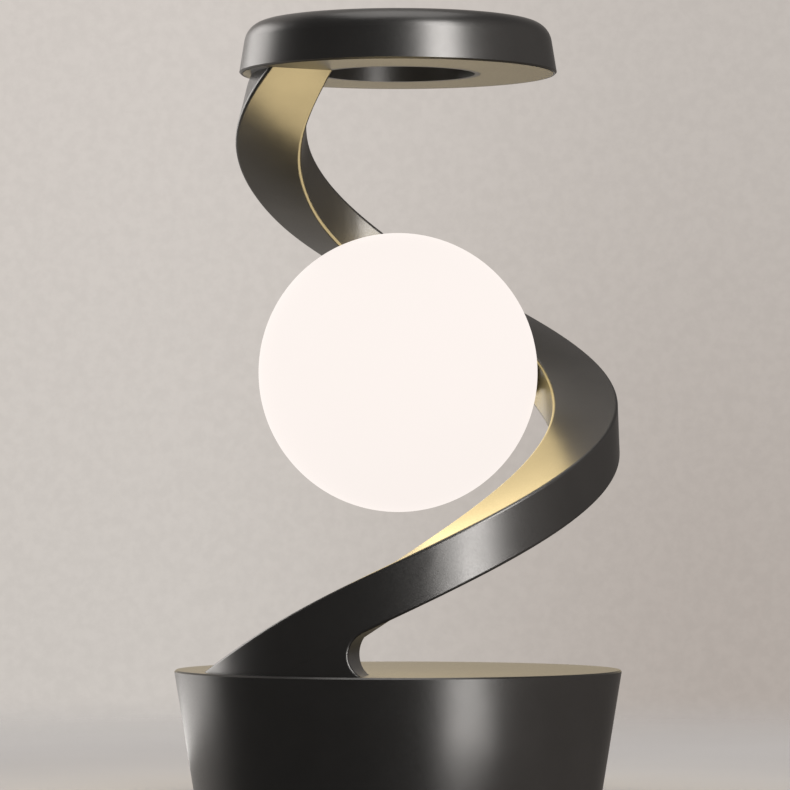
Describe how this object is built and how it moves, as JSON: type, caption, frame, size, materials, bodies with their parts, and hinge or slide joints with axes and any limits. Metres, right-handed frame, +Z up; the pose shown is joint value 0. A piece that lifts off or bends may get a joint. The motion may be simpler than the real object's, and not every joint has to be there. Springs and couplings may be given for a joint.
{
  "type": "magnetic balance lamp",
  "caption": "Table lamp with an opal globe held by a magnet inside a rising spiral arm, a tapered round base and a flat ring on top.",
  "frame": {"origin": "centre of the underside, on the surface the lamp stands on", "axes": "+Z up along the lamp's upright axis, -Y to the front, +X to the right as seen from the front"},
  "size_m": [0.16, 0.16, 0.28],
  "materials": {
    "satin_black_metal": "satin black paint, fine grain",
    "satin_black_aluminium": "satin black coating on cast aluminium, fine grain",
    "opal_globe": "opal, satin outside",
    "white_plastic": "matt white",
    "black_plastic": "matt black",
    "black_rubber": "matt, fine grain",
    "raw_steel": "plain steel",
    "black_screws": "blackened steel",
    "magnet_nickel": "nickel plated",
    "contact_brass": "gold plated brass",
    "board_green": "green solder mask",
    "led_yellow": "yellow phosphor"
  },
  "bodies": {
    "stand": {"base_housing": "satin_black_aluminium", "base_cover": "satin_black_metal", "non_slip_ring": "black_rubber", "ballast_weight": "raw_steel", "driver_board": "board_green", "driver_parts": "black_plastic", "base_cover_screws": "black_screws", "ballast_screws": "black_screws", "board_screws": "raw_steel", "power_inlet": "magnet_nickel", "inlet_insert": "black_plastic", "switch_body": "black_plastic", "spiral_band": "satin_black_aluminium", "band_foot_screws": "black_screws", "head_ring_shell": "satin_black_aluminium", "head_ring_plate": "satin_black_metal", "head_ring_screws": "black_screws", "dock_bush": "black_plastic"},
    "dock_rotor": {"magnet_cup": "raw_steel", "dock_magnet": "magnet_nickel", "contact_insulator": "white_plastic", "contact_pin": "contact_brass", "dock_clip": "raw_steel"},
    "globe": {"globe_shell": "opal_globe", "globe_cap": "white_plastic", "keeper_plate": "raw_steel", "contact_ring_insulator": "white_plastic", "globe_contact": "contact_brass", "led_post": "white_plastic", "cap_screws": "raw_steel", "globe_lead": "black_plastic", "led_board": "white_plastic", "led_emitters": "led_yellow", "led_diffuser": "opal_globe"},
    "button": {"power_button": "satin_black_metal"}
  },
  "joints": [
    {"name": "globe_turn", "type": "hinge", "parent": "stand", "child": "dock_rotor", "pos_m": [0.04796, 0.02692, 0.1543], "axis": [0.8721, 0.4894, 0], "continuous": true},
    {"name": "globe_pull_off", "type": "slide", "parent": "dock_rotor", "child": "globe", "axis": [-0.8721, -0.4894, 0], "range_m": [0, 0.12]},
    {"name": "power_button_press", "type": "slide", "parent": "stand", "child": "button", "axis": [0.2588, -0.9659, 0], "range_m": [0, 0.001], "stiffness_N_per_m": 900, "springref_m": -0.0008}
  ]
}
